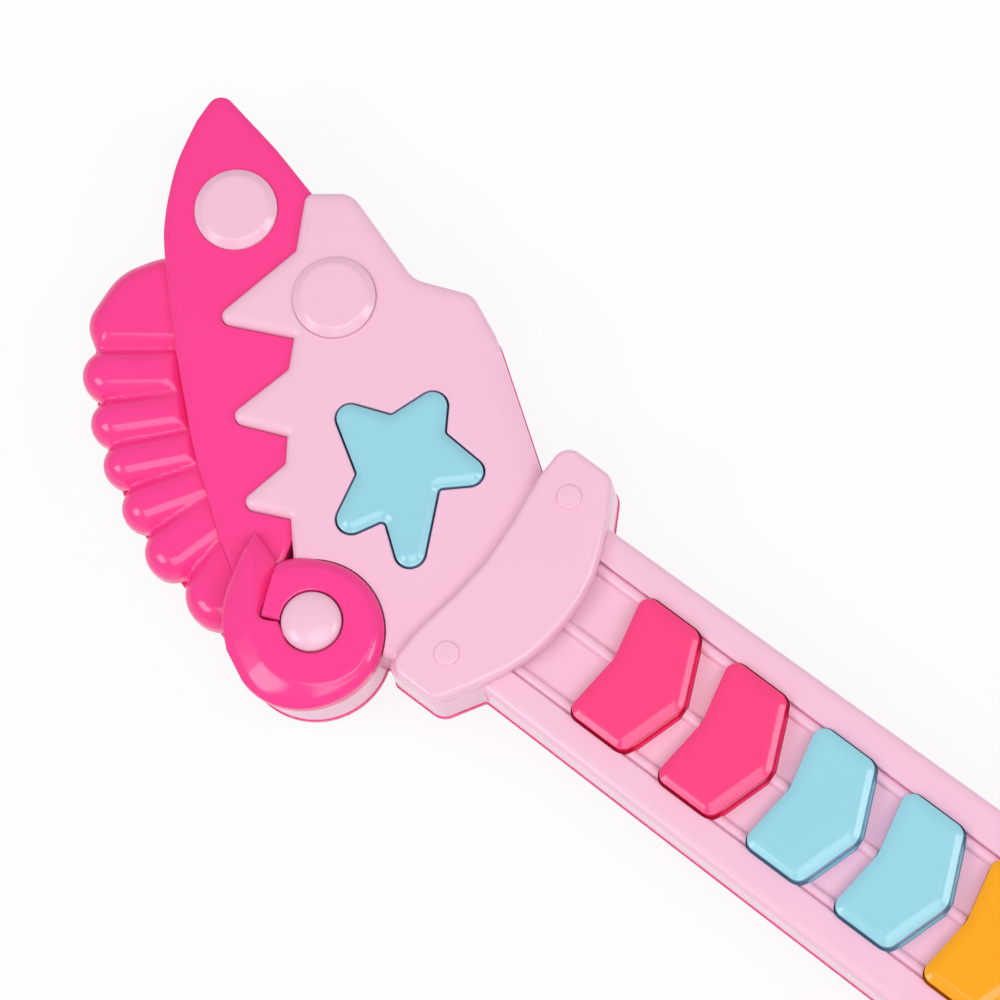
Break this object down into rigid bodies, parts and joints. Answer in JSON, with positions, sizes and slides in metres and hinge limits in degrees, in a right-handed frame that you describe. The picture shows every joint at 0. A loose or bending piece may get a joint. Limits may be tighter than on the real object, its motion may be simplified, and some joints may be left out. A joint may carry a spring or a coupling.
{
  "type": "toy electric guitar",
  "caption": "Toy electric guitar with chevron keys in the neck, a star button in the fan-edged head, a rocking strum bar and a battery door.",
  "frame": {"origin": "centre of the flat on the body's back, which the guitar rests on", "axes": "+X from the body to the head, +Y to the fan side of the head, +Z out of the face"},
  "size_m": [0.4952, 0.1892, 0.0427],
  "materials": {
    "pale_pink_abs": "glossy moulded ABS",
    "hot_pink_abs": "glossy moulded ABS",
    "light_blue_abs": "glossy moulded ABS",
    "orange_abs": "glossy moulded ABS",
    "silicone": "soft satin silicone",
    "circuit_board": "solder mask",
    "ribbon_cable": "soft PVC",
    "black_plastic": "matt",
    "battery_can": "printed sleeve, no wording",
    "steel": "zinc plated"
  },
  "bodies": {
    "casing": {"neck_front_shell": "pale_pink_abs", "neck_rear_shell": "hot_pink_abs", "leaf_overlay": "hot_pink_abs", "tuner_fan": "hot_pink_abs", "scroll_overlay": "hot_pink_abs", "scroll_dome": "pale_pink_abs", "tuner_cap_1": "pale_pink_abs", "tuner_cap_2": "pale_pink_abs", "nut_plate": "pale_pink_abs", "key_rubber_sheet": "silicone", "key_circuit_board": "circuit_board", "star_rubber_pad": "silicone", "star_circuit_board": "circuit_board", "star_ribbon": "ribbon_cable", "body_front_shell": "pale_pink_abs", "body_rear_shell": "hot_pink_abs", "pickguard": "hot_pink_abs", "speaker_grille": "light_blue_abs", "speaker": "black_plastic", "button_rubber_sheet": "silicone", "button_circuit_board": "circuit_board", "main_circuit_board": "circuit_board", "neck_ribbon": "ribbon_cable", "sound_module": "black_plastic", "switch_body": "black_plastic", "strum_axle": "steel", "battery_1": "battery_can", "battery_2": "battery_can", "battery_3": "battery_can", "battery_contact_tail": "steel", "battery_contact_neck": "steel", "neck_screw_1": "steel", "neck_screw_2": "steel", "neck_screw_3": "steel", "neck_screw_4": "steel", "body_screw_1": "steel", "body_screw_2": "steel", "body_screw_3": "steel", "body_screw_4": "steel", "joint_screw_1": "steel", "joint_screw_2": "steel"},
    "key_1": {"key_1": "hot_pink_abs"},
    "key_2": {"key_2": "hot_pink_abs"},
    "key_3": {"key_3": "light_blue_abs"},
    "key_4": {"key_4": "light_blue_abs"},
    "key_5": {"key_5": "orange_abs"},
    "key_6": {"key_6": "orange_abs"},
    "key_7": {"key_7": "hot_pink_abs"},
    "key_8": {"key_8": "hot_pink_abs"},
    "star": {"star_button": "light_blue_abs"},
    "sound_1": {"sound_button_1": "light_blue_abs"},
    "sound_2": {"sound_button_2": "orange_abs"},
    "sound_3": {"sound_button_3": "hot_pink_abs"},
    "switch": {"power_switch": "orange_abs"},
    "strum": {"strum_bar": "orange_abs"},
    "whammy": {"whammy_bar": "pale_pink_abs", "whammy_grip": "orange_abs", "whammy_clip": "steel"},
    "door": {"battery_door": "hot_pink_abs", "battery_door_screw": "steel"}
  },
  "joints": [
    {"name": "key_1_press", "type": "slide", "parent": "casing", "child": "key_1", "axis": [0, 0, -1], "range_m": [0, 0.0018], "stiffness_N_per_m": 500, "springref_m": -0.0008},
    {"name": "key_2_press", "type": "slide", "parent": "casing", "child": "key_2", "axis": [0, 0, -1], "range_m": [0, 0.0018], "stiffness_N_per_m": 500, "springref_m": -0.0008},
    {"name": "key_3_press", "type": "slide", "parent": "casing", "child": "key_3", "axis": [0, 0, -1], "range_m": [0, 0.0018], "stiffness_N_per_m": 500, "springref_m": -0.0008},
    {"name": "key_4_press", "type": "slide", "parent": "casing", "child": "key_4", "axis": [0, 0, -1], "range_m": [0, 0.0018], "stiffness_N_per_m": 500, "springref_m": -0.0008},
    {"name": "key_5_press", "type": "slide", "parent": "casing", "child": "key_5", "axis": [0, 0, -1], "range_m": [0, 0.0018], "stiffness_N_per_m": 500, "springref_m": -0.0008},
    {"name": "key_6_press", "type": "slide", "parent": "casing", "child": "key_6", "axis": [0, 0, -1], "range_m": [0, 0.0018], "stiffness_N_per_m": 500, "springref_m": -0.0008},
    {"name": "key_7_press", "type": "slide", "parent": "casing", "child": "key_7", "axis": [0, 0, -1], "range_m": [0, 0.0018], "stiffness_N_per_m": 500, "springref_m": -0.0008},
    {"name": "key_8_press", "type": "slide", "parent": "casing", "child": "key_8", "axis": [0, 0, -1], "range_m": [0, 0.0018], "stiffness_N_per_m": 500, "springref_m": -0.0008},
    {"name": "star_press", "type": "slide", "parent": "casing", "child": "star", "axis": [0, 0, -1], "range_m": [0, 0.001], "stiffness_N_per_m": 700, "springref_m": -0.0005},
    {"name": "sound_1_press", "type": "slide", "parent": "casing", "child": "sound_1", "axis": [0, 0, -1], "range_m": [0, 0.002], "stiffness_N_per_m": 500, "springref_m": -0.0008},
    {"name": "sound_2_press", "type": "slide", "parent": "casing", "child": "sound_2", "axis": [0, 0, -1], "range_m": [0, 0.002], "stiffness_N_per_m": 500, "springref_m": -0.0008},
    {"name": "sound_3_press", "type": "slide", "parent": "casing", "child": "sound_3", "axis": [0, 0, -1], "range_m": [0, 0.002], "stiffness_N_per_m": 500, "springref_m": -0.0008},
    {"name": "switch_slide", "type": "slide", "parent": "casing", "child": "switch", "axis": [1, 0, 0], "range_m": [0, 0.008]},
    {"name": "strum_rock", "type": "hinge", "parent": "casing", "child": "strum", "pos_m": [-0.014, 0, 0.0258], "axis": [1, 0, 0], "range_deg": [-12, 12], "stiffness_Nm_per_rad": 0.06},
    {"name": "whammy_turn", "type": "hinge", "parent": "casing", "child": "whammy", "pos_m": [-0.056, 0.044, 0.0323], "axis": [0, 0, 1], "range_deg": [-20, 20], "stiffness_Nm_per_rad": 0.08},
    {"name": "battery_door_open", "type": "hinge", "parent": "casing", "child": "door", "pos_m": [-0.0767, 0, 0.0003], "axis": [0, 1, 0], "range_deg": [0, 80]}
  ]
}
